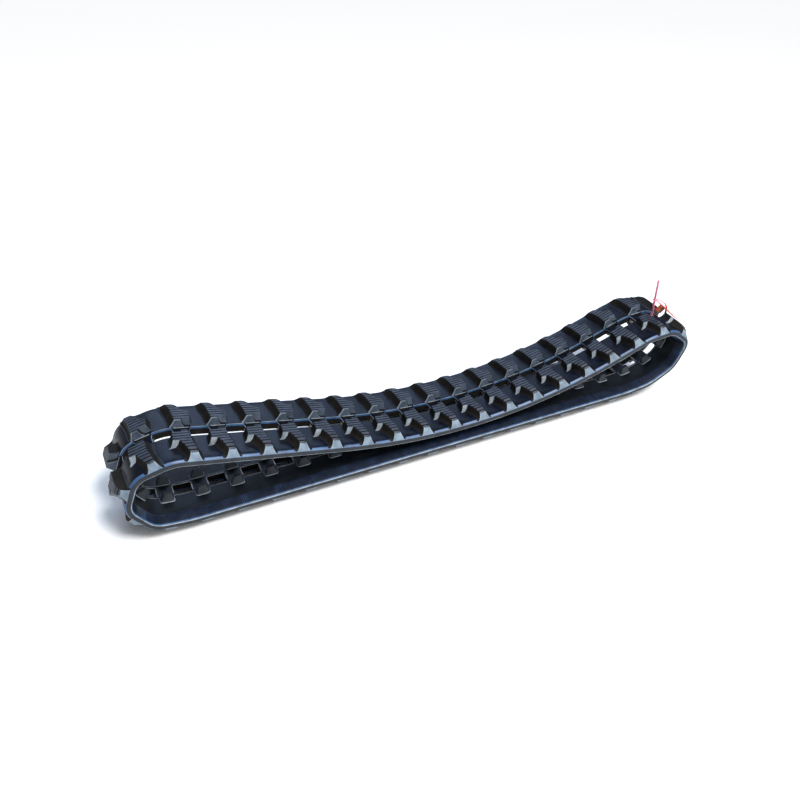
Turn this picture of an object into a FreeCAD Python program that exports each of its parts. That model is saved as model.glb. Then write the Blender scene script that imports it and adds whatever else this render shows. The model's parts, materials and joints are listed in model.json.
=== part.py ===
import FreeCAD, Part
import math
import os
import Sketcher

# A rubber track for a mini excavator: one endless moulded rubber belt, 180 mm wide, with
# forty steel cores at a 72 mm pitch.  It lies collapsed: the floor run is flat, the top run
# sags on to it, and a loop stands at either end.  The belt is hinged between its cores, so
# every link is one rubber pad on one steel core with its spans of cord ply.
# Frame of one link: X along the belt, Y across it, Z out of the tread, and the cords at Z = 0.

doc = FreeCAD.newDocument("rubber_track")
sheet = doc.addObject("Spreadsheet::Sheet", "spec")

SPEC = [
    # the belt
    ("link_pitch", 72, "hinge to hinge, core to core"),
    ("track_width", 180, "over the rubber"),
    ("link_count", 40, "links in the whole loop"),
    ("floor_links", 14, "links that lie flat on the floor"),
    # the carcass, measured from the cords
    ("outer_face", 9, "cords to the outside of the belt"),
    ("inner_face", 11, "cords to the inside of the belt"),
    ("bevel_start", 68, "middle to where the inner edge starts to slope"),
    ("bevel_rise", 7, "height that slope climbs at the edge"),
    ("edge_chamfer", 4.5, "outer corner of the belt"),
    ("channel_half", 14.5, "half width of the shallow channel down the middle"),
    ("channel_deep", 5.5, "its depth"),
    ("end_gap", 0.45, "half the gap between two pads at the cords"),
    ("inner_relief", 0.79, "inner end face, set back per mm from the cords"),
    ("outer_relief", 0.12, "outer end face, set back per mm from the cords"),
    # the sprocket window
    ("window_wide", 29, "across the belt"),
    ("window_long", 38, "along the belt"),
    # the tread lug
    ("lug_height", 18, "above the outside of the belt"),
    ("lug_root", 3, "how far the lug's foot starts inside the belt"),
    ("lug_draft", 7.2, "how much each face leans in from foot to tip"),
    ("bar_wide", 29, "foot of the lug's bar, along the belt"),
    ("end_draft", 15, "how much the bar's outer end leans in"),
    ("tread_shift", -5, "middle of the tread pattern behind the link's middle"),
    ("bar_lean", 5.4, "lean of the bar in plan, degrees"),
    ("bar_shift", 6.5, "middle of the bar ahead of the pattern's middle"),
    ("bar_inner", 14.4, "middle of the belt to the bar's inner end"),
    ("block_reach", 25, "pattern's middle back to the block's trailing face"),
    ("block_inner", 21, "middle of the belt to the block's inner face"),
    ("block_outer", 48, "middle of the belt to the block's outer face"),
    # the guide horn
    ("horn_rise", 19, "above the inside of the belt"),
    ("horn_centre", 26, "middle of the belt to the horn's middle"),
    ("horn_long", 27, "base along the belt"),
    ("horn_wide", 16, "base across the belt"),
    ("horn_tip_long", 16, "tip along the belt"),
    ("horn_tip_wide", 9, "tip across the belt"),
    ("horn_skin", 3, "rubber over the steel horn"),
    # the steel core and the cords
    ("core_top", 2.5, "cords to the top of the core"),
    ("core_thick", 7, "wing thickness"),
    ("core_half", 70, "half length of the wings"),
    ("wing_long", 26, "wing along the belt"),
    ("ply_thick", 3.2, "flat ply of steel cords"),
    ("ply_inner", 27, "middle of the belt to the ply"),
    ("ply_wide", 38, "its width"),
    ("ply_end", 1.7, "end of a span of ply to the hinge line"),
    # the loop as it lies
    ("left_loop", 78, "radius of the left loop at the cords"),
    ("left_slope", 13, "fall of the top run after the left loop, degrees"),
    ("sag_height", 42, "floor run to the lowest point of the top run"),
    ("right_slope", 21, "climb of the top run to the right, degrees"),
    ("crown_bend", 155, "radius of the crown at the right"),
    ("crown_sweep", 36, "its sweep, degrees"),
    ("fold_bend", 58, "radius of the fold at the right end"),
    ("fold_sweep", 120, "its sweep, degrees"),
    ("ease_bend", 185, "radius that eases the fold on to the floor"),
    ("first_hinge", 106, "left end of the flat floor run to the first hinge"),
    # the tie and its tag
    ("tie_wide", 5.2, "strap width"),
    ("tie_thick", 1.9, "strap thickness"),
    ("tie_head", 7, "side of the head"),
    ("tag_long", 60, "across the belt"),
    ("tag_wide", 41, "along the belt"),
    ("tag_thick", 1, "thickness"),
    ("tag_rise", 29.4, "cords to the tag's low edge, on the lug tips"),
    ("tag_tilt", 8, "how far its far side is lifted, degrees"),
    ("leaf_long", 26, "folded leaf, along the belt"),
    ("leaf_deep", 17, "folded leaf, down into the channel"),
]

dim = {}
for row, (alias, value, meaning) in enumerate(SPEC, start=1):
    sheet.set("A%d" % row, meaning)
    sheet.set("B%d" % row, str(value))
    sheet.setAlias("B%d" % row, alias)
    dim[alias] = float(value)
doc.recompute()

PITCH = dim["link_pitch"]


def origin_plane(body, role):
    for feature in body.Origin.OriginFeatures:
        if feature.Role == role:
            return feature
    raise RuntimeError("no plane " + role)


def bind(obj, prop, expression):
    obj.setExpression(prop, expression)


def polygon(sketch, tag, corners):
    """A closed outline whose corners are bound to the sheet, each a pair of expressions."""
    first = sketch.GeometryCount
    count = len(corners)
    points = []
    for across, up in corners:
        points.append(FreeCAD.Vector(value_of(across), value_of(up), 0))
    for i in range(count):
        sketch.addGeometry(Part.LineSegment(points[i], points[(i + 1) % count]), False)
    for i in range(count):
        sketch.addConstraint(Sketcher.Constraint("Coincident", first + i, 2,
                                                 first + (i + 1) % count, 1))
    for i in range(count):
        for kind, word, where in (("DistanceX", "x", 0), ("DistanceY", "y", 1)):
            name = "%s_%d%s" % (tag, i, word)
            spot = points[i][where]
            index = sketch.addConstraint(Sketcher.Constraint(kind, -1, 1, first + i, 1, spot))
            sketch.renameConstraint(index, name)
            bind(sketch, "Constraints." + name, corners[i][where])


def value_of(expression):
    """The value of one of this script's own expressions: numbers and spec.* words."""
    cell = "D1"
    sheet.set(cell, "=" + expression.replace("spec.", ""))
    sheet.recompute()
    got = sheet.get(cell)
    sheet.clear(cell)
    return float(got)


def body_sketch(body, role, name, lift=None):
    sketch = body.newObject("Sketcher::SketchObject", name)
    sketch.AttachmentSupport = [(origin_plane(body, role), "")]
    sketch.MapMode = "FlatFace"
    if lift is not None:
        bind(sketch, "AttachmentOffset.Base.z", lift)
    return sketch


def pad_both(body, name, sketch, length):
    feature = body.newObject("PartDesign::Pad", name)
    feature.Profile = sketch
    feature.SideType = "Symmetric"
    bind(feature, "Length", length)
    return feature


def pocket_both(body, name, sketch):
    feature = body.newObject("PartDesign::Pocket", name)
    feature.Profile = sketch
    feature.SideType = "Symmetric"
    feature.Type = "ThroughAll"
    return feature


def frustum(body, name, foot, tip, height, where, turn):
    """A tapered block: foot and tip are (x low, x high, y low, y high) as expressions."""
    block = body.newObject("PartDesign::AdditiveWedge", name)
    bind(block, "Ymin", "0")
    bind(block, "Ymax", height)
    for prop, expression in zip(("Xmin", "Xmax", "Zmin", "Zmax"), foot):
        bind(block, prop, expression)
    for prop, expression in zip(("X2min", "X2max", "Z2min", "Z2max"), tip):
        bind(block, prop, expression)
    block.Placement = FreeCAD.Placement(FreeCAD.Vector(*[value_of(one) for one in where]), turn)
    for axis, expression in zip("xyz", where):
        bind(block, "Placement.Base." + axis, expression)
    return block


def pad_blank(name):
    """The rubber of one link, before the steel is let into it."""
    body = doc.addObject("PartDesign::Body", name)
    half = "(spec.link_pitch / 2 - spec.end_gap)"
    side = body_sketch(body, "XZ_Plane", name + "_side")
    polygon(side, "side", [
        ("-%s" % half, "0"),
        ("-%s + spec.inner_face * spec.inner_relief" % half, "-spec.inner_face"),
        ("%s - spec.inner_face * spec.inner_relief" % half, "-spec.inner_face"),
        (half, "0"),
        ("%s - spec.outer_face * spec.outer_relief" % half, "spec.outer_face"),
        ("-%s + spec.outer_face * spec.outer_relief" % half, "spec.outer_face"),
    ])
    pad_both(body, name + "_slab", side, "spec.track_width")
    # the two sloping inner edges, the two outer chamfers and the channel
    edges = body_sketch(body, "YZ_Plane", name + "_edges")
    slope = "spec.bevel_rise * (1 + 2 / (spec.track_width / 2 - spec.bevel_start))"
    for tag, sign in (("near", "-"), ("far", "")):
        polygon(edges, tag + "_bevel", [
            (sign + "spec.bevel_start", "-spec.inner_face"),
            (sign + "spec.bevel_start", "-spec.inner_face - 2"),
            (sign + "(spec.track_width / 2 + 2)", "-spec.inner_face - 2"),
            (sign + "(spec.track_width / 2 + 2)", "-spec.inner_face + " + slope),
        ])
        polygon(edges, tag + "_corner", [
            (sign + "(spec.track_width / 2 - spec.edge_chamfer)", "spec.outer_face"),
            (sign + "(spec.track_width / 2 - spec.edge_chamfer)", "spec.outer_face + 1"),
            (sign + "(spec.track_width / 2 + 1)", "spec.outer_face + 1"),
            (sign + "(spec.track_width / 2 + 1)", "spec.outer_face - spec.edge_chamfer - 1"),
        ])
    polygon(edges, "channel", [
        ("-spec.channel_half", "spec.outer_face - spec.channel_deep"),
        ("spec.channel_half", "spec.outer_face - spec.channel_deep"),
        ("spec.channel_half", "spec.outer_face + 1"),
        ("-spec.channel_half", "spec.outer_face + 1"),
    ])
    pocket_both(body, name + "_edge_cut", edges)
    # half a window at either end of the link
    holes = body_sketch(body, "XY_Plane", name + "_holes")
    for tag, sign in (("back", "-"), ("front", "")):
        polygon(holes, tag, [
            (sign + "(spec.link_pitch - spec.window_long) / 2", "-spec.window_wide / 2"),
            (sign + "(spec.link_pitch / 2 + 1)", "-spec.window_wide / 2"),
            (sign + "(spec.link_pitch / 2 + 1)", "spec.window_wide / 2"),
            (sign + "(spec.link_pitch - spec.window_long) / 2", "spec.window_wide / 2"),
        ])
    pocket_both(body, name + "_windows", holes)
    # a lug and a guide horn on the near half, and the same turned half way round on the far
    upward = FreeCAD.Rotation(FreeCAD.Vector(1, 0, 0), 90)
    downward = FreeCAD.Rotation(FreeCAD.Vector(1, 0, 0), -90)
    deep = "spec.lug_height + spec.lug_root"
    low = "spec.outer_face - spec.lug_root"
    reach = "(spec.track_width / 2 + 1.5 - spec.bar_inner) / 2"
    half_bar = "spec.bar_wide / 2"
    draft = "spec.lug_draft"
    for tag, turn, half_turn in (("near", "1", 0), ("far", "-1", 180)):
        spin = FreeCAD.Rotation(FreeCAD.Vector(0, 0, 1), dim["bar_lean"] + half_turn)
        frustum(body, name + "_bar_" + tag,
                ("-" + half_bar, half_bar, "-" + reach, reach),
                ("-%s + %s" % (half_bar, draft), "%s - %s" % (half_bar, draft),
                 "-%s + 0.2 * %s" % (reach, draft), "%s - spec.end_draft" % reach),
                deep,
                ("spec.tread_shift + %s * spec.bar_shift" % turn,
                 "%s * -(spec.bar_inner + %s)" % (turn, reach), low),
                spin.multiply(upward))
        back = FreeCAD.Rotation(FreeCAD.Vector(0, 0, 1), half_turn)
        frustum(body, name + "_block_" + tag,
                ("-spec.block_reach", "0", "spec.block_inner", "spec.block_outer"),
                ("-spec.block_reach + 0.35 * " + draft, "0", "spec.block_inner + 0.15 * " + draft,
                 "spec.block_outer - 0.4 * " + draft),
                deep, ("spec.tread_shift", "0", low), back.multiply(upward))
        frustum(body, name + "_horn_" + tag,
                ("-spec.horn_long / 2", "spec.horn_long / 2",
                 "-spec.horn_wide / 2", "spec.horn_wide / 2"),
                ("-spec.horn_tip_long / 2", "spec.horn_tip_long / 2",
                 "-spec.horn_tip_wide / 2", "spec.horn_tip_wide / 2"),
                "spec.horn_rise + 1",
                ("0", "%s * spec.horn_centre" % turn, "-spec.inner_face + 1"), downward)
    # the lugs' outer ends stop flush with the belt's edges
    trim = body_sketch(body, "YZ_Plane", name + "_trim")
    for tag, sign in (("near", "-"), ("far", "")):
        polygon(trim, tag, [
            (sign + "spec.track_width / 2", "-spec.inner_face"),
            (sign + "(spec.track_width / 2 + 5)", "-spec.inner_face"),
            (sign + "(spec.track_width / 2 + 5)", "spec.outer_face + spec.lug_height"),
            (sign + "spec.track_width / 2", "spec.outer_face + spec.lug_height"),
        ])
    pocket_both(body, name + "_flush", trim)
    return body


def core_blank(name):
    """The forged core: two wings, a bridge between the windows, and two horns."""
    body = doc.addObject("PartDesign::Body", name)
    plan = body_sketch(body, "XY_Plane", name + "_plan", "-spec.core_top - spec.core_thick")
    bridge = "(spec.link_pitch - spec.window_long) / 2"
    corners = []
    for end in ("-", ""):
        far = "-" if end == "" else ""
        corners += [
            ("%sspec.wing_long / 2" % far, "%sspec.core_half" % end),
            ("%sspec.wing_long / 2" % end, "%sspec.core_half" % end),
            ("%sspec.wing_long / 2" % end, "%s(spec.window_wide / 2 + 3)" % end),
            ("%s%s" % (end, bridge), "%sspec.window_wide / 2" % end),
            ("%s%s" % (end, bridge), "%sspec.window_wide / 2" % far),
            ("%sspec.wing_long / 2" % end, "%s(spec.window_wide / 2 + 3)" % far),
        ]
    polygon(plan, "plan", corners)
    slab = body.newObject("PartDesign::Pad", name + "_slab")
    slab.Profile = plan
    bind(slab, "Length", "spec.core_thick")
    downward = FreeCAD.Rotation(FreeCAD.Vector(1, 0, 0), -90)
    for tag, turn in (("near", "1"), ("far", "-1")):
        foot_long = "(spec.horn_long / 2 - spec.horn_skin)"
        foot_wide = "(spec.horn_wide / 2 - spec.horn_skin)"
        tip_long = "(spec.horn_tip_long / 2 - spec.horn_skin)"
        tip_wide = "(spec.horn_tip_wide / 2 - spec.horn_skin)"
        frustum(body, name + "_horn_" + tag,
                ("-" + foot_long, foot_long, "-" + foot_wide, foot_wide),
                ("-" + tip_long, tip_long, "-" + tip_wide, tip_wide),
                "spec.inner_face + spec.horn_rise - spec.horn_skin - spec.core_top"
                " - spec.core_thick + 1",
                ("0", "%s * spec.horn_centre" % turn, "-spec.core_top - spec.core_thick + 1"),
                downward)
    return body


def ply_blank(name, tag, links):
    """One flat ply of steel cords, straight through a run of links."""
    ply = doc.addObject("Part::Box", name)
    bind(ply, "Length", "%s * spec.link_pitch - 2 * spec.ply_end" % links)
    bind(ply, "Width", "spec.ply_wide")
    bind(ply, "Height", "spec.ply_thick")
    bind(ply, "Placement.Base.x", "-%s * spec.link_pitch / 2 + spec.ply_end" % links)
    if tag == "near":
        bind(ply, "Placement.Base.y", "-spec.ply_inner - spec.ply_wide")
    else:
        bind(ply, "Placement.Base.y", "spec.ply_inner")
    bind(ply, "Placement.Base.z", "-spec.ply_thick / 2")
    return ply


def walk_loop():
    """Hinge points of the loop as it lies, clockwise from the left end of the floor run."""
    left = dim["left_loop"]
    fall = math.radians(dim["left_slope"])
    climb = math.radians(dim["right_slope"])
    crown = math.radians(dim["crown_sweep"])
    fold = math.radians(dim["fold_sweep"])
    low = dim["sag_height"]

    def turn_by(radius, heading, sweep):
        """Where a clockwise arc goes, as x and z from its start."""
        after = heading - sweep
        return (radius * (math.sin(heading) - math.sin(after)),
                radius * (math.cos(after) - math.cos(heading)))

    def path(sag):
        """The line of the cords as (length, curvature) pieces for one sag radius."""
        rest = math.pi + climb - crown - fold
        bends = ((dim["crown_bend"], climb, crown),
                 (dim["fold_bend"], climb - crown, fold),
                 (dim["ease_bend"], climb - crown - fold, rest))
        moves = [turn_by(*one) for one in bends]
        down = left * (1 + math.cos(fall)) - sag * (1 - math.cos(fall)) - low
        falling = down / math.sin(fall)
        top_of_climb = -sum(one[1] for one in moves)
        climbing = (top_of_climb - low - sag * (1 - math.cos(climb))) / math.sin(climb)
        along = turn_by(left, math.pi, math.pi + fall)[0] + falling * math.cos(fall)
        along += sag * (math.sin(fall) + math.sin(climb)) + climbing * math.cos(climb)
        along += sum(one[0] for one in moves)
        return [(left * (math.pi + fall), -1 / left), (falling, 0), (sag * (fall + climb), 1 / sag),
                (climbing, 0)] + [(r * s, -1 / r) for r, h, s in bends] + [(along, 0)]

    def at(pieces, distance):
        """The point at a distance along the path, which repeats for ever."""
        total = sum(length for length, bend in pieces)
        distance = distance % total
        x = z = 0.0
        heading = math.pi
        for length, bend in pieces:
            step = min(distance, length)
            if bend:
                after = heading + bend * step
                x += (math.sin(after) - math.sin(heading)) / bend
                z += (math.cos(heading) - math.cos(after)) / bend
                heading = after
            else:
                x += step * math.cos(heading)
                z += step * math.sin(heading)
            distance -= step
            if distance <= 0:
                break
        return x, z

    def chords(sag):
        """Walk the whole loop in chords of one pitch, and say by how much they miss."""
        pieces = path(sag)
        total = sum(length for length, bend in pieces)
        place = -dim["first_hinge"]
        point = at(pieces, place)
        points = [point]
        for i in range(int(dim["link_count"])):
            ahead = place + PITCH
            for attempt in range(12):
                x, z = at(pieces, ahead)
                ahead -= math.hypot(x - point[0], z - point[1]) - PITCH
            place = ahead
            point = at(pieces, place)
            points.append(point)
        return points, place + dim["first_hinge"] - total

    sags = [1200.0, 1400.0]
    misses = [chords(sag)[1] for sag in sags]
    for attempt in range(40):
        if abs(misses[1]) < 1e-9 or abs(misses[1] - misses[0]) < 1e-12:
            break
        better = sags[1] - misses[1] * (sags[1] - sags[0]) / (misses[1] - misses[0])
        sags = [sags[1], better]
        misses = [misses[1], chords(better)[1]]
    return chords(sags[1])[0]


HINGES = walk_loop()

rubber_blank = pad_blank("pad_blank")
core = core_blank("core_form")
plies = [ply_blank("ply_near", "near", "1"), ply_blank("ply_far", "far", "1")]
doc.recompute()

link_steel_form = doc.addObject("Part::Compound", "link_steel_form")
link_steel_form.Links = [core] + plies
link_rubber_form = doc.addObject("Part::Cut", "link_rubber_form")
link_rubber_form.Base = rubber_blank
link_rubber_form.Tool = link_steel_form


def floor_row(name, form):
    """A form set out once for each link of the floor run."""
    row = []
    for i in range(int(dim["floor_links"])):
        one = doc.addObject("Part::Compound", "%s_%02d" % (name, i))
        one.Links = [form]
        bind(one, "Placement.Base.x", "(%d - (spec.floor_links - 1) / 2) * spec.link_pitch" % i)
        row.append(one)
    whole = doc.addObject("Part::Compound", name)
    whole.Links = row
    return whole


# in the floor run the plies go on from link to link, so its pads are open at both ends
through = [ply_blank("through_near", "near", "2"), ply_blank("through_far", "far", "2")]
floor_steel = doc.addObject("Part::Compound", "floor_steel_form")
floor_steel.Links = [core] + through
floor_pad_form = doc.addObject("Part::Cut", "floor_pad_form")
floor_pad_form.Base = rubber_blank
floor_pad_form.Tool = floor_steel
doc.recompute()
floor_rubber_form = floor_row("floor_pads", floor_pad_form)
floor_core_form = floor_row("floor_cores", core)
floor_cords = doc.addObject("Part::Compound", "floor_cord_form")
floor_cords.Links = [ply_blank("floor_ply_near", "near", "spec.floor_links"),
                     ply_blank("floor_ply_far", "far", "spec.floor_links")]
doc.recompute()

FIRST_FLOOR = int(dim["link_count"] - dim["floor_links"])
nodes = []

# The cable tie, in the frame of the link it is looped round: up through one window, over to
# the tag, down through the next window and back under the core's bridge.
TIE_LOOP = [(-61, 34), (-47, 18), (-33.5, 1), (-28, -11), (-18, -15.5), (8, -15.8), (19.8, -10.8),
            (21.2, 3), (14, 17), (5, 28), (-4, 38), (-22, 43), (-42, 42), (-58, 38)]
TIE_TAIL = [(-61, 34), (-99, 76)]


def strap(name, points):
    """A strap of the sheet's section along a smooth line through the points, in X and Z."""
    route = doc.addObject("Sketcher::SketchObject", name + "_route")
    upright = FreeCAD.Rotation(FreeCAD.Vector(1, 0, 0), 90)
    route.Placement = FreeCAD.Placement(FreeCAD.Vector(0, 0, 0), upright)
    line = Part.BSplineCurve()
    line.interpolate([FreeCAD.Vector(x, z, 0) for x, z in points])
    route.addGeometry(line, False)
    ahead = line.tangent(line.FirstParameter)[0]
    section = doc.addObject("Sketcher::SketchObject", name + "_section")
    along = FreeCAD.Vector(ahead.x, 0, ahead.y)
    across = FreeCAD.Vector(0, 1, 0)
    turn = FreeCAD.Rotation(across, along.cross(across), along, "ZXY")
    section.Placement = FreeCAD.Placement(FreeCAD.Vector(points[0][0], 0, points[0][1]), turn)
    polygon(section, "strap", [
        ("-spec.tie_wide / 2", "-spec.tie_thick / 2"),
        ("spec.tie_wide / 2", "-spec.tie_thick / 2"),
        ("spec.tie_wide / 2", "spec.tie_thick / 2"),
        ("-spec.tie_wide / 2", "spec.tie_thick / 2"),
    ])
    sweep = doc.addObject("Part::Sweep", name)
    sweep.Sections = [section]
    sweep.Spine = (route, ["Edge1"])
    sweep.Solid = True
    sweep.Frenet = False
    return sweep


tie_loop = strap("tie_loop", TIE_LOOP)
tie_tail = strap("tie_tail", TIE_TAIL)
tie_head = doc.addObject("Part::Box", "tie_head")
for prop in ("Length", "Height"):
    bind(tie_head, prop, "spec.tie_head")
bind(tie_head, "Width", "spec.tie_wide + 2")
bind(tie_head, "Placement.Base.x", "-61 - spec.tie_head / 2")
bind(tie_head, "Placement.Base.y", "-spec.tie_wide / 2 - 1")
bind(tie_head, "Placement.Base.z", "35.5 - spec.tie_head / 2")
tie_form = doc.addObject("Part::MultiFuse", "tie_form")
tie_form.Shapes = [tie_loop, tie_tail, tie_head]

# The hang tag: a card that lies on the lug tips, with a leaf folded down into the channel and
# a slot that the tie goes through.
tag_card = doc.addObject("Part::Box", "tag_card")
bind(tag_card, "Length", "spec.tag_wide")
bind(tag_card, "Width", "spec.tag_long")
bind(tag_card, "Height", "spec.tag_thick")
tag_card.Placement = FreeCAD.Placement(FreeCAD.Vector(-12, -30, 0), FreeCAD.Rotation())
tag_leaf = doc.addObject("Part::Box", "tag_leaf")
bind(tag_leaf, "Length", "spec.leaf_long")
bind(tag_leaf, "Width", "spec.tag_thick")
bind(tag_leaf, "Height", "spec.leaf_deep + spec.tag_thick")
tag_leaf.Placement = FreeCAD.Placement(FreeCAD.Vector(-25, 5, 0), FreeCAD.Rotation())
bind(tag_leaf, "Placement.Base.z", "-spec.leaf_deep")
tag_tab = doc.addObject("Part::Box", "tag_tab")
bind(tag_tab, "Length", "spec.leaf_long")
bind(tag_tab, "Width", "20")
bind(tag_tab, "Height", "spec.tag_thick")
tag_tab.Placement = FreeCAD.Placement(FreeCAD.Vector(-25, 5, 0), FreeCAD.Rotation())
tag_slot = doc.addObject("Part::Box", "tag_slot")
bind(tag_slot, "Length", "4 * spec.tie_thick + 8")
bind(tag_slot, "Width", "spec.tie_wide + 2.4")
bind(tag_slot, "Height", "3 * spec.tag_thick + 4")
tag_slot.Placement = FreeCAD.Placement(FreeCAD.Vector(-5, -3.5, -3), FreeCAD.Rotation())
tag_blank = doc.addObject("Part::MultiFuse", "tag_blank")
tag_blank.Shapes = [tag_card, tag_leaf, tag_tab]
tag_form = doc.addObject("Part::Cut", "tag_form")
tag_form.Base = tag_blank
tag_form.Tool = tag_slot
doc.recompute()


def placed(label, form, placement):
    """One sub-part of the track: a form put in its place."""
    node = doc.addObject("Part::Compound", label)
    node.Label = label
    node.Links = [form]
    node.Placement = placement
    nodes.append(node)
    return node


def link_placement(k):
    ax, az = HINGES[k]
    bx, bz = HINGES[k + 1]
    heading = math.degrees(math.atan2(bz - az, bx - ax))
    middle = FreeCAD.Vector((ax + bx) / 2, 0, (az + bz) / 2)
    return FreeCAD.Placement(middle, FreeCAD.Rotation(FreeCAD.Vector(0, 1, 0), -heading))


for k in range(FIRST_FLOOR):
    placed("link_%02d_rubber" % k, link_rubber_form, link_placement(k))
    placed("link_%02d_steel" % k, link_steel_form, link_placement(k))
TIED = 22
placed("cable_tie", tie_form, link_placement(TIED))
lift = FreeCAD.Placement(FreeCAD.Vector(0, -30, dim["tag_rise"]), FreeCAD.Rotation())
tilt = FreeCAD.Placement(FreeCAD.Vector(0, 0, 0),
                         FreeCAD.Rotation(FreeCAD.Vector(1, 0, 0), dim["tag_tilt"]))
ease = FreeCAD.Placement(FreeCAD.Vector(0, 30, 0), FreeCAD.Rotation())
placed("hang_tag", tag_form, link_placement(TIED).multiply(lift).multiply(tilt).multiply(ease))
floor_middle = FreeCAD.Vector((HINGES[0][0] + HINGES[FIRST_FLOOR][0]) / 2, 0, 0)
floor_place = FreeCAD.Placement(floor_middle, FreeCAD.Rotation(FreeCAD.Vector(0, 1, 0), 180))
placed("floor_run_rubber", floor_rubber_form, floor_place)
placed("floor_run_cores", floor_core_form, floor_place)
placed("floor_run_cords", floor_cords, floor_place)
doc.recompute()

# put the origin under the middle of the whole track, on the floor
box = FreeCAD.BoundBox()
for node in nodes:
    box.add(node.Shape.BoundBox)
home = FreeCAD.Vector(-(box.XMin + box.XMax) / 2, 0, -box.ZMin)
for node in nodes:
    node.Placement = FreeCAD.Placement(home, FreeCAD.Rotation()).multiply(node.Placement)
doc.recompute()

for obj in doc.Objects:
    if "Invalid" in obj.State or "Error" in obj.State:
        raise RuntimeError("%s failed: %s" % (obj.Name, obj.State))
os.makedirs("parts", exist_ok=True)
for node in nodes:
    if node.Shape.isNull() or not node.Shape.isValid():
        raise RuntimeError("%s has a bad shape" % node.Label)
    node.Shape.exportStep(os.path.join("parts", node.Label + ".step"))

print("size", box.XLength, box.YLength, box.ZLength)
for k, (x, z) in enumerate(HINGES[:FIRST_FLOOR + 1]):
    print("hinge %d %.6f %.6f" % (k, x + home.x, z + home.z))
for form in (tie_form, tag_form, link_rubber_form, link_steel_form, floor_rubber_form, floor_core_form, floor_cords):
    shape = form.Shape
    print(form.Name, len(shape.Solids), "solids", round(shape.Volume / 1000, 1), "cm3", shape.BoundBox)
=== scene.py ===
"""Rubber track: the belt, its lugs and guide horns, the cable tie and the hang tag."""
import json
import math

import bmesh
import bpy
from mathutils import Matrix, Vector


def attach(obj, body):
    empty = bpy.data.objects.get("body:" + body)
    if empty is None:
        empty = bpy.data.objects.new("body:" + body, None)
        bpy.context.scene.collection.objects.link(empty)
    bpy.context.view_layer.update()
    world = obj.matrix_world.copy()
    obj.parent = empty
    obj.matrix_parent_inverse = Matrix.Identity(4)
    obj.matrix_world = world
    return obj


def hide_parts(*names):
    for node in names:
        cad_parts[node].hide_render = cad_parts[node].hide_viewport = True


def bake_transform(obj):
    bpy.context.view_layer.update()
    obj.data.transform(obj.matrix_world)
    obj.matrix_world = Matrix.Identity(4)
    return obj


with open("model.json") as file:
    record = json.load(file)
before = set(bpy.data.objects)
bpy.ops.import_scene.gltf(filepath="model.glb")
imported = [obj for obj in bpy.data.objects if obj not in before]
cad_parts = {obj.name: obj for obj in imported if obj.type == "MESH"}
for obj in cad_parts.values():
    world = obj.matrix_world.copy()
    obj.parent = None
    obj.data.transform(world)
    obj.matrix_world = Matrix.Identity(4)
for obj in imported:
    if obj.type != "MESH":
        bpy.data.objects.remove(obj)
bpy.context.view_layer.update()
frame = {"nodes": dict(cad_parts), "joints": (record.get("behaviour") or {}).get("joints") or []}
nodes = frame["nodes"]


MM = 0.001
PITCH = 72.0
LINKS = 40
LOOP_LINKS = 26
CUT = 13
STIFF = 15.0  # each side of a core the belt stays flat this far, then it bends

# ---------------------------------------------------------------- the line of hinges
hinge = {}
for joint in frame["joints"]:
    x, _, z = joint["pos_m"]
    hinge[int(joint["name"].split("_")[1])] = Vector((x, z)) / MM

# no joint stands at the cut: its point is one pitch from the hinges on both sides of it
before, after = hinge[CUT - 1], hinge[CUT + 1]
half_gap = (after - before) / 2
drop = math.sqrt(PITCH ** 2 - half_gap.length ** 2)
down = Vector((half_gap.y, -half_gap.x)).normalized()
hinge[CUT] = before + half_gap + down * drop
# the floor run is straight and has no joints
for k in range(LOOP_LINKS + 1, LINKS + 1):
    hinge[k] = hinge[LOOP_LINKS] - Vector((PITCH * (k - LOOP_LINKS), 0))


def heading(k):
    step = hinge[k + 1] - hinge[k]
    return math.atan2(step.y, step.x)


def link_matrix(k):
    """From a link's own frame (along the belt, across it, outward), in mm, to the part's."""
    middle = (hinge[k] + hinge[k + 1]) / 2
    turn = Matrix.Rotation(-heading(k), 4, "Y")
    return Matrix.Scale(MM, 4) @ Matrix.Translation((middle.x, 0, middle.y)) @ turn


def bend_at(i):
    """How far the belt turns at hinge i, clockwise, in radians."""
    turn = heading((i - 1) % LINKS) - heading(i % LINKS)
    return (turn + math.pi) % (2 * math.pi) - math.pi


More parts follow.
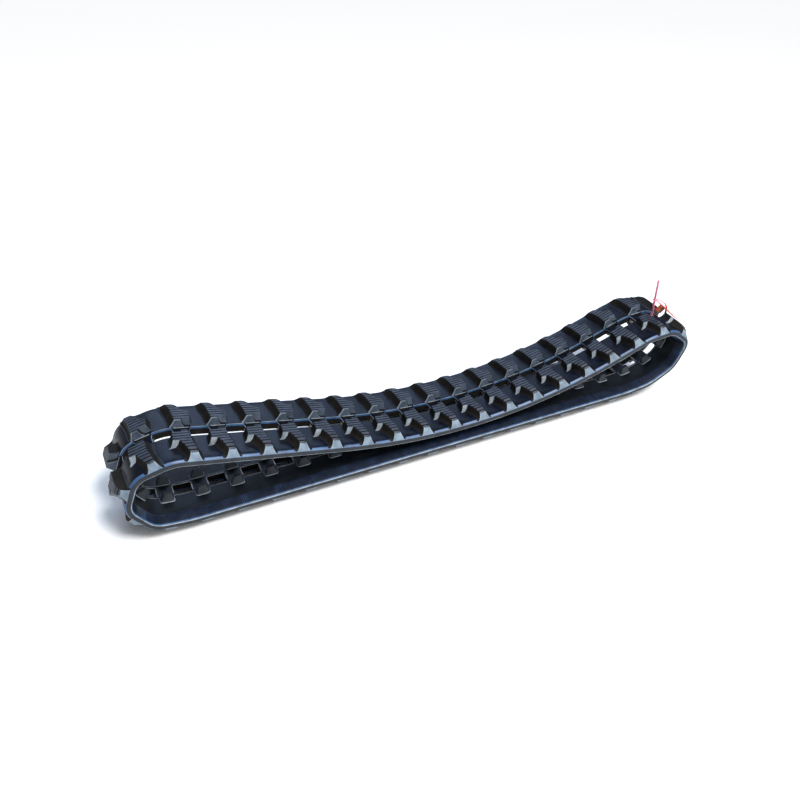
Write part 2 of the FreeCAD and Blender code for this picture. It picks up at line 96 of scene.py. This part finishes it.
# ---------------------------------------------------------------- materials
def rubber(name, dark, light, rough, grain=900.0, depth=0.0003, fleck=60.0, spec=0.5):
    """Moulded rubber: cloudy tone, a fine moulded grain and a roughness that wanders."""
    mat = bpy.data.materials.new(name)
    mat.use_nodes = True
    tree = mat.node_tree
    shader = tree.nodes["Principled BSDF"]
    place = tree.nodes.new("ShaderNodeTexCoord")
    cloud = tree.nodes.new("ShaderNodeTexNoise")
    cloud.inputs["Scale"].default_value = fleck
    cloud.inputs["Detail"].default_value = 6.0
    tree.links.new(place.outputs["Object"], cloud.inputs["Vector"])
    ramp = tree.nodes.new("ShaderNodeValToRGB")
    ramp.color_ramp.elements[0].position = 0.32
    ramp.color_ramp.elements[1].position = 0.70
    ramp.color_ramp.elements[0].color = (*dark, 1)
    ramp.color_ramp.elements[1].color = (*light, 1)
    tree.links.new(cloud.outputs["Fac"], ramp.inputs["Fac"])
    tree.links.new(ramp.outputs["Color"], shader.inputs["Base Color"])
    span = tree.nodes.new("ShaderNodeMapRange")
    span.inputs["To Min"].default_value = rough[0]
    span.inputs["To Max"].default_value = rough[1]
    tree.links.new(cloud.outputs["Fac"], span.inputs["Value"])
    tree.links.new(span.outputs["Result"], shader.inputs["Roughness"])
    fine = tree.nodes.new("ShaderNodeTexNoise")
    fine.inputs["Scale"].default_value = grain
    fine.inputs["Detail"].default_value = 3.0
    tree.links.new(place.outputs["Object"], fine.inputs["Vector"])
    bump = tree.nodes.new("ShaderNodeBump")
    bump.inputs["Strength"].default_value = 0.5
    bump.inputs["Distance"].default_value = depth
    tree.links.new(fine.outputs["Fac"], bump.inputs["Height"])
    tree.links.new(bump.outputs["Normal"], shader.inputs["Normal"])
    shader.inputs["Specular IOR Level"].default_value = spec
    return mat


# Several rubber colours hold painted light: a painted blue sheen on the outer faces and the inner bevel,
# painted highlights on edges, rims, ribs and ridges, and painted light on lug faces turned to the lamps.
TOP_SHEEN, FLANK, END_LIT, BEVEL_SHEEN, EDGE_HIGHLIGHT, INNER, GROOVE, SIDE, TIP_HIGHLIGHT, RIB_HIGHLIGHT, RIDGE_HIGHLIGHT, LIT_FACE, HORN_SIDE = range(13)
belt_mats = [
    # the outer faces: black rubber with a painted blue sky sheen in its colour
    rubber("rubber_top_painted_sheen", (0.0010, 0.0016, 0.0042), (0.0040, 0.0070, 0.0175), (0.22, 0.48), 700.0, 0.0004,
           spec=0.16),
    rubber("rubber_flank", (0.004, 0.0038, 0.0035), (0.014, 0.012, 0.010), (0.6, 0.9), 600.0,
           0.0005, spec=0.15),
    # the lugs' outer end faces: light blue-grey, painted light where the faces turn to the lamps
    rubber("rubber_end_painted_light", (0.090, 0.130, 0.175), (0.22, 0.30, 0.38), (0.45, 0.7), 1400.0, 0.0006),
    # the inside's sloping edge band: black rubber with a painted blue sheen in its colour
    rubber("rubber_bevel_painted_sheen", (0.0035, 0.0065, 0.015), (0.009, 0.016, 0.036), (0.26, 0.36), 300.0, 0.0001),
    # chamfers, edge ribs and rims: a bright blue painted highlight
    rubber("rubber_edge_painted_highlight", (0.016, 0.050, 0.125), (0.050, 0.125, 0.270), (0.3, 0.5)),
    rubber("rubber_inner", (0.0012, 0.0022, 0.004), (0.0045, 0.0068, 0.011), (0.42, 0.65), spec=0.22),
    rubber("rubber_groove", (0.002, 0.003, 0.005), (0.006, 0.008, 0.012), (0.6, 0.8), spec=0.1),
    rubber("rubber_side", (0.004, 0.006, 0.009), (0.016, 0.024, 0.034), (0.5, 0.75), 1100.0, 0.0005),
    # rims, lug ends, horn feet and the block's outer face: a light grey painted highlight
    rubber("rubber_tip_painted_highlight", (0.14, 0.18, 0.22), (0.36, 0.42, 0.47), (0.35, 0.55)),
    # the block's ribs: the brightest painted highlight
    rubber("rubber_rib_painted_highlight", (0.22, 0.25, 0.27), (0.50, 0.54, 0.58), (0.3, 0.5)),
    # the ridges beside the lugs' grooves and the foot line: a softer painted highlight
    rubber("rubber_ridge_painted_highlight", (0.013, 0.018, 0.030), (0.036, 0.047, 0.072), (0.4, 0.62), 800.0, 0.0004,
           spec=0.4),
    # the lugs' inner ends and the blocks' inner faces: lighter blue-grey, painted light
    rubber("rubber_painted_lit_face", (0.040, 0.056, 0.080), (0.100, 0.130, 0.175), (0.45, 0.7), 900.0, 0.0005),
    rubber("rubber_horn", (0.010, 0.016, 0.024), (0.030, 0.044, 0.060), (0.45, 0.7), 900.0, 0.0005),
]
steel = rubber("core_steel", (0.14, 0.09, 0.055), (0.62, 0.48, 0.36), (0.35, 0.6), 700.0, 0.0004,
               45.0)
steel.node_tree.nodes["Principled BSDF"].inputs["Metallic"].default_value = 0.6
cord_steel = rubber("cord_steel", (0.25, 0.22, 0.16), (0.5, 0.45, 0.36), (0.3, 0.5), 500.0)
cord_steel.node_tree.nodes["Principled BSDF"].inputs["Metallic"].default_value = 0.9
pink = rubber("tie_nylon", (0.92, 0.20, 0.31), (0.98, 0.36, 0.46), (0.28, 0.42), 600.0, 0.0001,
              90.0)
orange = rubber("tag_card", (0.46, 0.045, 0.002), (0.70, 0.105, 0.006), (0.35, 0.5), 500.0, 0.0001,
                50.0)


# ---------------------------------------------------------------- mesh building
class Sheet:
    """Points, faces and each face's material, gathered before they become a mesh."""

    def __init__(self):
        self.points = []
        self.faces = []
        self.mats = []

    def add(self, points, faces, mats):
        start = len(self.points)
        self.points += [Vector(p) for p in points]
        self.faces += [[start + n for n in face] for face in faces]
        self.mats += mats if isinstance(mats, list) else [mats] * len(faces)

    def moved(self, change, flip=False):
        other = Sheet()
        faces = [list(reversed(face)) for face in self.faces] if flip else self.faces
        other.add([change(p) for p in self.points], faces, list(self.mats))
        return other

    def join(self, other):
        self.add(other.points, other.faces, list(other.mats))

    def piece(self, name, smooth=34.0, merge=0.00002):
        mesh = bpy.data.meshes.new(name)
        mesh.from_pydata([p[:] for p in self.points], [], self.faces)
        for mat in belt_mats:
            mesh.materials.append(mat)
        mesh.polygons.foreach_set("material_index", self.mats)
        work = bmesh.new()
        work.from_mesh(mesh)
        bmesh.ops.remove_doubles(work, verts=work.verts, dist=merge)
        work.to_mesh(mesh)
        work.free()
        mesh.polygons.foreach_set("use_smooth", [True] * len(mesh.polygons))
        mesh.set_sharp_from_angle(angle=math.radians(smooth))
        obj = bpy.data.objects.new(name, mesh)
        bpy.context.scene.collection.objects.link(obj)
        return obj


def strip(rows, corners):
    """The faces of a raised line whose rows of points are low, high, low.

    A face's corners are counted from its first point: 0 and 1 on one row, 3 and 4 on the next.
    """
    return [[3 * i + j + n for n in corners] for i in range(rows - 1) for j in range(2)]


# ---------------------------------------------------------------- the belt's body
# Heights are outward from the line of the cords.
OUTER_FACE = 9.0
INNER_FACE = -11.0
WINDOW_HALF = 14.5
CHANNEL = 3.5  # the floor of the shallow channel down the middle
RIM_OUT = 13.3  # the channel's floor ends here and its wall begins
RIM_TOP = 13.8  # the wall ends here, at RIM_HIGH, and its chamfer begins
RIM_HIGH = 8.1
CORNER = 5.0
CORNER_TURNS = (0.0, 0.4, 0.8, 1.2, math.pi / 2)
LINE_X = [0.0, STIFF, STIFF + CORNER / 2, STIFF + CORNER, 24.0, 28.0, 32.0, PITCH / 2]
# (across the belt, height)
OUTSIDE = [(9.5, CHANNEL), (RIM_OUT, CHANNEL), (RIM_TOP, RIM_HIGH), (WINDOW_HALF, OUTER_FACE),
           (19.0, OUTER_FACE), (44.0, OUTER_FACE), (66.0, OUTER_FACE), (71.0, OUTER_FACE),
           (84.4, OUTER_FACE), (85.8, 8.5), (89.0, 5.4), (89.8, 4.3), (90.0, 3.2)]
INSIDE = [(9.5, INNER_FACE), (RIM_OUT, INNER_FACE), (13.7, INNER_FACE), (WINDOW_HALF, INNER_FACE),
          (19.0, INNER_FACE), (44.0, INNER_FACE), (66.0, INNER_FACE), (71.0, -10.0), (84.4, -5.8),
          (85.8, -5.35), (89.0, -4.35), (89.8, -3.7), (90.0, -2.8)]
WINDOW_LINE_X = (STIFF, 20.0, 24.0, 28.0, 32.0, PITCH / 2)
WINDOW_LINE = [(17.2, -10.8), (17.8, -11.7), (18.4, -10.8)]
EDGE_RIB_X = (1.8, 5.4)
EDGE_RIB_HALF = 0.38
EDGE_RIB_LINE = [(69.0, -10.7, 0.3), (72.0, -9.7, 1), (87.0, -5.15, 1), (89.4, -4.0, 0.3)]
# the corners of a raised line's faces on each side of the belt's inside
LINE_CORNERS = {-1: (0, 1, 4, 3), 1: (3, 4, 1, 0)}


def across(profile):
    """The profile over the whole width, from its half."""
    return [(-y, h) for y, h in reversed(profile)] + [(0.0, profile[0][1])] + profile


def outside_slot(reach, step):
    # the rim's step and the outer chamfer are painted highlights, the outer face carries the painted
    # sheen
    if step:
        return TIP_HIGHLIGHT if reach > RIM_TOP else FLANK
    return EDGE_HIGHLIGHT if 84.0 < reach < 89.0 else SIDE if reach > 89.0 else TOP_SHEEN


def inside_slot(reach):
    # the inner edge is painted as highlights, the sloping band as a painted sheen
    if reach > 87.0:
        return TIP_HIGHLIGHT if reach > 89.0 else EDGE_HIGHLIGHT
    return BEVEL_SHEEN if reach > 66.0 else INNER


def add_skin(sheet):
    """The belt's outside and inside, left open over the window, and its side faces."""
    top, low = across(OUTSIDE), across(INSIDE)
    rows = len(top)
    grid = [(x, y, h) for x in LINE_X for y, h in top]
    grid += [(x, y, h) for x in LINE_X for y, h in low]
    layer = rows * len(LINE_X)
    faces, mats = [], []
    for i in range(len(LINE_X) - 1):
        for j in range(rows - 1):
            reach = abs(top[j][0] + top[j + 1][0]) / 2
            if i >= 1 and reach < WINDOW_HALF:
                continue
            a, b = i * rows + j, i * rows + j + 1
            c, d = b + rows, a + rows
            step = i < 1 and abs(top[j][1] - top[j + 1][1]) > 0.5 and reach < 20.0
            faces.append([a, d, c, b])
            mats.append(outside_slot(reach, step))
            faces.append([layer + n for n in (a, b, c, d)])
            mats.append(inside_slot(reach))
    for i in range(len(LINE_X) - 1):
        for j, turn in ((0, False), (rows - 1, True)):
            a, d = i * rows + j, (i + 1) * rows + j
            face = [a, layer + a, layer + d, d]
            faces.append(face[::-1] if turn else face)
            mats.append(SIDE)
    sheet.add(grid, faces, mats)


def add_window(sheet):
    """The flat pieces that round the window's corners, and the window's wall."""
    arc = [(STIFF + CORNER * (1 - math.cos(t)), WINDOW_HALF - CORNER * (1 - math.sin(t)))
           for t in CORNER_TURNS]
    for side in (1, -1):
        side_line = [(STIFF, y) for y, _ in OUTSIDE if y <= WINDOW_HALF]
        end_line = [(STIFF + CORNER / 2, WINDOW_HALF), (STIFF + CORNER, WINDOW_HALF)]
        ring = side_line + end_line + arc[-2:0:-1]
        for level in (0, 1):
            points = []
            for x, y in ring:
                high = OUTER_FACE if y > 14.0 else RIM_HIGH if y > 13.6 else CHANNEL
                points.append((x, side * y, INNER_FACE if level else high))
            face = list(range(len(points)))
            if (side > 0) != (level == 1):
                face.reverse()
            # the outer fill carries the painted blue sheen, the inner fill the plain inner rubber
            sheet.add(points, [face], INNER if level else TOP_SHEEN)
    line = [(x, WINDOW_HALF) for x in LINE_X[:3:-1]] + arc[::-1]
    line += [(x, -y) for x, y in line[::-1]]
    normal = [(0.0, -1.0)] * 4 + [(math.cos(t), -math.sin(t)) for t in CORNER_TURNS[::-1]]
    normal += [(x, -y) for x, y in normal[::-1]]
    wall = []
    for (x, y), (nx, ny) in zip(line, normal):
        beside = abs(y) > 14.0
        high = OUTER_FACE if beside else CHANNEL
        rim = 4.1 if beside else CHANNEL - 1.1
        for push, h in ((0.0, high), (0.4, high - 0.7), (1.1, rim), (1.1, -9.6),
                        (0.0, INNER_FACE)):
            wall.append((x + push * nx, y + push * ny, h))
    faces, mats = [], []
    for i in range(len(line) - 1):
        # the wall's top rows and its inner rim are painted highlights
        for j, slot in enumerate((TIP_HIGHLIGHT, EDGE_HIGHLIGHT, FLANK, TIP_HIGHLIGHT)):
            a = 5 * i + j
            faces.append([a, a + 1, a + 6, a + 5])
            mats.append(slot)
    sheet.add(wall, faces, mats)


def add_edge_ribs(sheet):
    """Fine moulded ribs on the sloping inner edge."""
    for x in EDGE_RIB_X:
        for side in (1, -1):
            points = []
            for y, h, rise in EDGE_RIB_LINE:
                for dx, lift in ((-EDGE_RIB_HALF, -0.3), (0.0, 0.6), (EDGE_RIB_HALF, -0.3)):
                    points.append((x + dx, side * y, h - lift * rise))
            # the ribs are coloured as a painted highlight
            sheet.add(points, strip(len(EDGE_RIB_LINE), LINE_CORNERS[side]), EDGE_HIGHLIGHT)


def add_window_lines(sheet):
    """A fine raised line beside each window, on the inside."""
    for side in (1, -1):
        points = []
        for x in WINDOW_LINE_X:
            for y, h in WINDOW_LINE:
                points.append((x, side * y, h))
        # the lines are coloured as a painted highlight
        sheet.add(points, strip(len(WINDOW_LINE_X), LINE_CORNERS[side]), TIP_HIGHLIGHT)


def half_belt():
    """Half a link of belt, from the middle of its core to the hinge line."""
    sheet = Sheet()
    add_skin(sheet)
    add_window(sheet)
    add_edge_ribs(sheet)
    add_window_lines(sheet)
    return sheet


def bent(point, turn):
    """A point of the straight half link, laid round a bend that turns that far at the hinge."""
    x, y, h = point
    if x <= STIFF or abs(turn) < 1e-4:
        return Vector((x, y, h))
    share = (x - STIFF) / (PITCH / 2 - STIFF) * turn / 2
    radius = (PITCH / 2 - STIFF) / math.tan(turn / 2)
    return Vector((STIFF + (radius + h) * math.sin(share), y,
                   (radius + h) * math.cos(share) - radius))


HALF = half_belt()


def half_at(k, leading, turn):
    """Half of link k's belt in the part's frame. The leading half ends at hinge k + 1."""
    place = link_matrix(k % LINKS)

    def change(p):
        q = bent(p, turn)
        if not leading:
            q = Vector((-q.x, q.y, q.z))
        return place @ q

    return HALF.moved(change, flip=not leading)


# ---------------------------------------------------------------- lugs and horns
LUG_TOP = 27.0
BELT_TOP = 8.8  # just inside the belt's outer face, so that a lug's foot is buried
END_FOOT = 4.9  # the foot of the outer end, on the belt's chamfer
TREAD_SHIFT = -5.0  # the middle of the tread pattern, behind the link's own middle
# each edge of a lug's top as (y, x) or (y, height), from its inner end to its outer end
BAR_SIDE = [(-16.0, -3.0), (-22.5, -5.5), (-46.5, -12.0), (-79.0, 2.8)]
FREE_SIDE = [(-16.0, 9.0), (-50.0, 10.8), (-79.0, 16.0)]
BLOCK_SIDE = [(-22.5, -21.5), (-46.5, -24.0)]
BLOCK_SPAN = (-46.4, -22.3)
TOP_LINE = [(-16.0, LUG_TOP), (-62.0, LUG_TOP), (-70.0, 25.0), (-79.0, 20.0)]
# how a flank goes out from the top edge: share of the way down, then distance out
FALL = [0.0, 0.07, 0.35, 0.62, 0.82, 0.93, 0.985, 1.0]
BAR_FLANK = [-0.5, 0.5, 1.7, 3.4, 5.6, 8.0, 10.6, 12.8]
FREE_FLANK = [-0.5, 0.6, 2.4, 4.6, 6.6, 8.4, 10.0, 11.4]
BLOCK_FLANK = [-0.5, 0.4, 1.0, 1.8, 3.0, 4.4, 5.8, 6.8]
GROOVES = (-19.5, -27.5, -35.5, -43.0, -51.0, -59.0, -67.0, -74.2)
GROOVE_HALF = 1.2
GROOVE_DEPTH = 1.7
# how the end faces lean as they go down, in mm across the belt per mm of height
INNER_LEAN, BLOCK_IN_LEAN, BLOCK_OUT_LEAN, OUTER_LEAN = 0.03, 0.05, -0.17, -0.70
ROW = 2 * len(FALL) + 2  # points in one row across a lug
BLOCK_RIB_X = (-22.6, -18.6, -14.6)
BLOCK_RIB_FOOT, BLOCK_RIB_HEAD = 10.5, 25.6  # the heights between which a block's ribs run
BLOCK_RIB_LEAN = 0.03  # mm along the belt per mm of height
BLOCK_RIB_HALF = 1.1
BLOCK_FACE = -46.6  # the block's outer face, at the height of its top
FOOT_LINE_Y = (-17.0, -33.0, -50.0, -66.0, -79.0, -85.0)
HORN_OUT = 26.0
# (along the belt, across it, height), from the foot of a horn to its tip
HORN_RINGS = [(31.0, 20.0, -10.4), (27.4, 16.4, -12.2), (16.8, 9.8, -28.6), (14.6, 7.6, -29.9)]


def between(y, line):
    """The value at y on a line of (y, value) pairs."""
    for (y0, v0), (y1, v1) in zip(line, line[1:]):
        if y >= y1:
            return v0 + (v1 - v0) * min(max((y0 - y) / (y0 - y1), 0.0), 1.0)
    return line[-1][1]


def lug_row(y, block=False, lean=0.0, dip=0.0, inset=0.0, base=BELT_TOP):
    """One row of points across a lug, from one foot over its top to the other foot."""
    high = between(y, TOP_LINE) - inset
    near = between(y, BLOCK_SIDE if block else BAR_SIDE)
    far = between(y, FREE_SIDE)
    left, right = [], []
    for n, share in enumerate(FALL):
        drop_by = dip if n == 0 else dip * 0.35 if n == 1 else 0.0
        h = high - share * (high - base) - drop_by
        place = y + lean * share * (high - base)
        out = (BLOCK_FLANK if block else BAR_FLANK)[n] - inset
        left.append((TREAD_SHIFT + near - out, place, h))
        right.append((TREAD_SHIFT + far + FREE_FLANK[n] - inset, place, h))
    skirt = base - (5.5 if block else 2.0)
    left.append((left[-1][0] - 0.3, left[-1][1], skirt))
    right.append((right[-1][0] + 0.3, right[-1][1], skirt))
    return left[::-1] + right


def lug_steps():
    """Where the rows of a lug stand, how each is made, and what follows it: (y, how, kind)."""
    steps = [(-15.3, dict(lean=INNER_LEAN, inset=1.2), TIP_HIGHLIGHT), (-16.9, dict(lean=INNER_LEAN), TOP_SHEEN)]
    for y in GROOVES:
        steps += [(y + GROOVE_HALF, dict(), GROOVE), (y, dict(dip=GROOVE_DEPTH), GROOVE),
                  (y - GROOVE_HALF, dict(), TOP_SHEEN)]
    steps += [(-22.0, dict(lean=BLOCK_IN_LEAN), LIT_FACE), (-22.6, dict(lean=BLOCK_IN_LEAN), TOP_SHEEN),
              (-46.2, dict(lean=BLOCK_OUT_LEAN), RIB_HIGHLIGHT), (-46.8, dict(lean=BLOCK_OUT_LEAN), TOP_SHEEN),
              (-77.6, dict(lean=-0.68), TOP_SHEEN), (-78.4, dict(lean=OUTER_LEAN, base=END_FOOT), RIDGE_HIGHLIGHT),
              (-79.2, dict(lean=OUTER_LEAN, base=END_FOOT, inset=0.9), END_LIT)]
    return sorted(steps, key=lambda step: -step[0])


def lug_slot(kind, j):
    """The material of face j of the band of faces that follows a row of that kind."""
    # The block's outer face, the lug's inner end and the ridges by the grooves are painted highlights,
    # the block's inner face painted light, the feet the painted sheen.
    top = ROW // 2 - 1
    off = abs(j - top)
    foot = off >= len(FALL) - 2
    if kind == RIB_HIGHLIGHT and j < top - 1:
        return TIP_HIGHLIGHT
    if kind == RIDGE_HIGHLIGHT and not foot:
        return TIP_HIGHLIGHT if off else RIDGE_HIGHLIGHT
    if kind == LIT_FACE and j < top:
        return LIT_FACE
    if kind == TIP_HIGHLIGHT and not foot:
        return TIP_HIGHLIGHT if j > top else LIT_FACE
    if off <= 1:
        return GROOVE if kind == GROOVE else RIDGE_HIGHLIGHT
    return TOP_SHEEN if foot else FLANK


def add_block_ribs(sheet):
    """Upright ribs on the block's outer face."""
    for foot in BLOCK_RIB_X:
        points = []
        for h in (BLOCK_RIB_FOOT, BLOCK_RIB_HEAD):
            x = TREAD_SHIFT + foot + (h - BLOCK_RIB_FOOT) * BLOCK_RIB_LEAN
            y = BLOCK_FACE + BLOCK_OUT_LEAN * (LUG_TOP - h)
            points += [(x - BLOCK_RIB_HALF, y + 0.3, h), (x, y - 0.75, h),
                       (x + BLOCK_RIB_HALF, y + 0.3, h)]
        # the ribs take the brightest painted highlight
        sheet.add(points, strip(2, (0, 1, 4, 3)) + [[3, 4, 5]], RIB_HIGHLIGHT)


def add_foot_highlight_line(sheet):
    """A raised line along the foot of the bar's free side, in a painted highlight colour for the light
    on the foot's fillet.
    """
    points = []
    for y in FOOT_LINE_Y:
        x = TREAD_SHIFT + between(y, FREE_SIDE) + FREE_FLANK[-1]
        points += [(x - 0.7, y, 8.6), (x, y, 9.9), (x + 0.9, y, 8.6)]
    sheet.add(points, strip(len(FOOT_LINE_Y), (0, 3, 4, 1)), RIDGE_HIGHLIGHT)


def one_lug():
    """The near lug of a link: a grooved bar with a block behind it, on flanks that flare out."""
    steps = lug_steps()
    sheet = Sheet()
    points, faces, mats = [], [], []
    for y, how, _ in steps:
        points += lug_row(y, block=BLOCK_SPAN[0] < y < BLOCK_SPAN[1], **how)
    for i, (_, _, kind) in enumerate(steps[:-1]):
        for j in range(ROW - 1):
            corner = ROW * i + j
            faces.append([corner, corner + ROW, corner + ROW + 1, corner + 1])
            mats.append(lug_slot(kind, j))
    # both end faces are painted light
    for row, kind, turn in ((0, LIT_FACE, True), (len(steps) - 1, END_LIT, False)):
        for n in range(ROW // 2 - 1):
            a, b = ROW * row + n, ROW * row + n + 1
            c, d = ROW * (row + 1) - 2 - n, ROW * (row + 1) - 1 - n
            face = [a, b, c, d]
            faces.append(face[::-1] if turn else face)
            mats.append(kind)
    sheet.add(points, faces, mats)
    add_block_ribs(sheet)
    add_foot_highlight_line(sheet)
    return sheet


def one_horn():
    """A guide horn on the inside, over one horn of the core."""
    sheet = Sheet()
    points = []
    for long, wide, h in HORN_RINGS:
        radius = min(long, wide) * 0.28
        for quarter in range(4):
            sx = 1 if quarter in (0, 3) else -1
            sy = 1 if quarter in (0, 1) else -1
            for step in range(4):
                t = math.pi / 2 * (quarter + step / 3)
                points.append((sx * (long / 2 - radius) + radius * math.cos(t),
                               sy * (wide / 2 - radius) + radius * math.sin(t), h))
    faces, mats = [], []
    for ring in range(len(HORN_RINGS) - 1):
        for n in range(16):
            a, b = 16 * ring + n, 16 * ring + (n + 1) % 16
            faces.append([b, a, a + 16, b + 16])
            # the band at each horn's foot is a painted highlight
            mats.append(TIP_HIGHLIGHT if ring == 0 else HORN_SIDE)
    faces.append([48 + n for n in range(15, -1, -1)])
    mats.append(INNER)
    sheet.add(points, faces, mats)
    return sheet


NEAR_LUG = one_lug()
LUGS = Sheet()
LUGS.join(NEAR_LUG)
# the far lug is the near one, turned half round about the tread pattern's middle
LUGS.join(NEAR_LUG.moved(lambda p: Vector((2 * TREAD_SHIFT - p.x, -p.y, p.z))))
HORN = one_horn()
HORNS = Sheet()
for side in (-HORN_OUT, HORN_OUT):
    HORNS.join(HORN.moved(lambda p: p + Vector((0, side, 0))))


# ---------------------------------------------------------------- the pieces
def body_name(k):
    return "link_%02d" % k if 0 <= k < LOOP_LINKS else "floor_run"


for i in range(LOOP_LINKS + 1):
    turn = bend_at(i)
    lead, trail = half_at(i - 1, True, turn), half_at(i, False, turn)
    if i == CUT:
        for k, half in ((i - 1, lead), (i, trail)):
            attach(half.piece("belt_end_%02d" % k), body_name(k))
        continue
    lead.join(trail)
    span = lead.piece("belt_%02d" % i)
    start = link_matrix((i - 1) % LINKS) @ Vector((STIFF, 0, 0))
    end = link_matrix(i % LINKS) @ Vector((-STIFF, 0, 0))
    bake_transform(span)
    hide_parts("link_%02d_rubber" % (i if i < CUT else i - 1))

floor_belt, floor_lugs, floor_horns = Sheet(), Sheet(), Sheet()
for k in range(LOOP_LINKS, LINKS):
    place = link_matrix(k)
    if k < LINKS - 1:
        floor_belt.join(half_at(k, True, 0.0))
        floor_belt.join(half_at(k + 1, False, 0.0))
    floor_lugs.join(LUGS.moved(lambda p: place @ p))
    floor_horns.join(HORNS.moved(lambda p: place @ p))
belt_floor = floor_belt.piece("belt_floor")
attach(belt_floor, "floor_run")
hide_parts("floor_run_rubber")
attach(floor_lugs.piece("lugs_floor"), "floor_run")
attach(floor_horns.piece("horns_floor"), "floor_run")
for k in range(LOOP_LINKS):
    place = link_matrix(k)
    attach(LUGS.moved(lambda p: place @ p).piece("lugs_%02d" % k), body_name(k))
    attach(HORNS.moved(lambda p: place @ p).piece("horns_%02d" % k), body_name(k))

for name, node in nodes.items():
    if name.endswith("_steel") or name == "floor_run_cores":
        mat = steel
    elif name == "floor_run_cords":
        mat = cord_steel
    elif name == "cable_tie":
        mat = pink
    elif name == "hang_tag":
        mat = orange
    else:
        continue
    node.data.materials.clear()
    node.data.materials.append(mat)

# ---------------------------------------------------------------- floor, light, camera
FLOOR_SIZE = 60
FLOOR_DROP = 0.0005  # the floor lies just under the lugs, so that the two don't flicker
bpy.ops.mesh.primitive_plane_add(size=FLOOR_SIZE, location=(0, 0, -FLOOR_DROP))
floor = bpy.context.object
floor.name = "floor"
paper = bpy.data.materials.new("floor_paper")
paper.use_nodes = True
paper_shader = paper.node_tree.nodes["Principled BSDF"]
paper_shader.inputs["Base Color"].default_value = (0.90, 0.90, 0.90, 1)
paper_shader.inputs["Roughness"].default_value = 0.8
floor.data.materials.append(paper)

world = bpy.data.worlds.new("studio")
world.use_nodes = True
sky = world.node_tree.nodes["Background"]
sky.inputs["Color"].default_value = (0.90, 0.94, 1.0, 1)
sky.inputs["Strength"].default_value = 0.28
bpy.context.scene.world = world


def softbox(name, where, aim, size, power, colour=(1, 1, 1)):
    lamp = bpy.data.lights.new(name, "AREA")
    lamp.shape = "RECTANGLE"
    lamp.size, lamp.size_y = size
    lamp.energy = power
    lamp.color = colour
    obj = bpy.data.objects.new(name, lamp)
    obj.location = where
    look = Vector(aim) - Vector(where)
    obj.rotation_euler = look.to_track_quat("-Z", "Y").to_euler()
    bpy.context.scene.collection.objects.link(obj)


softbox("key_front_right", (1.7, -2.6, 2.2), (0, 0, 0.1), (1.5, 1.2), 45, (1.0, 0.98, 0.95))
softbox("sky_behind", (0.2, 2.4, 1.9), (0, 0, 0.1), (2.8, 0.8), 45, (0.50, 0.68, 1.0))
softbox("overhead", (0.0, -0.3, 3.2), (0, 0, 0), (2.2, 2.2), 25, (0.92, 0.96, 1.0))
daylight = bpy.data.lights.new("daylight", "SUN")
daylight.energy = 3.0
daylight.angle = 0.3
daylight_object = bpy.data.objects.new("daylight", daylight)
daylight_object.rotation_euler = Vector((-0.38, 0.62, -1.25)).to_track_quat("-Z", "Y").to_euler()
bpy.context.scene.collection.objects.link(daylight_object)
bpy.context.scene.view_settings.view_transform = "Standard"

EYE = Vector((-0.66088, -1.15406, 1.11663))
YAW, PITCH_DOWN, ROLL = 0.4706, 0.6563, 0.0456
ahead = Vector((math.sin(YAW) * math.cos(PITCH_DOWN), math.cos(YAW) * math.cos(PITCH_DOWN),
                -math.sin(PITCH_DOWN)))
level = Vector((math.cos(YAW), -math.sin(YAW), 0))
upright = level.cross(ahead)
right = level * math.cos(ROLL) + upright * math.sin(ROLL)
up = upright * math.cos(ROLL) - level * math.sin(ROLL)
camera_data = bpy.data.cameras.new("camera")
camera_data.lens = 33.17
camera_data.sensor_width = 36.0
camera = bpy.data.objects.new("camera", camera_data)
camera.matrix_world = Matrix((
    (right.x, up.x, -ahead.x, EYE.x),
    (right.y, up.y, -ahead.y, EYE.y),
    (right.z, up.z, -ahead.z, EYE.z),
    (0, 0, 0, 1)))
bpy.context.scene.collection.objects.link(camera)
bpy.context.scene.camera = camera
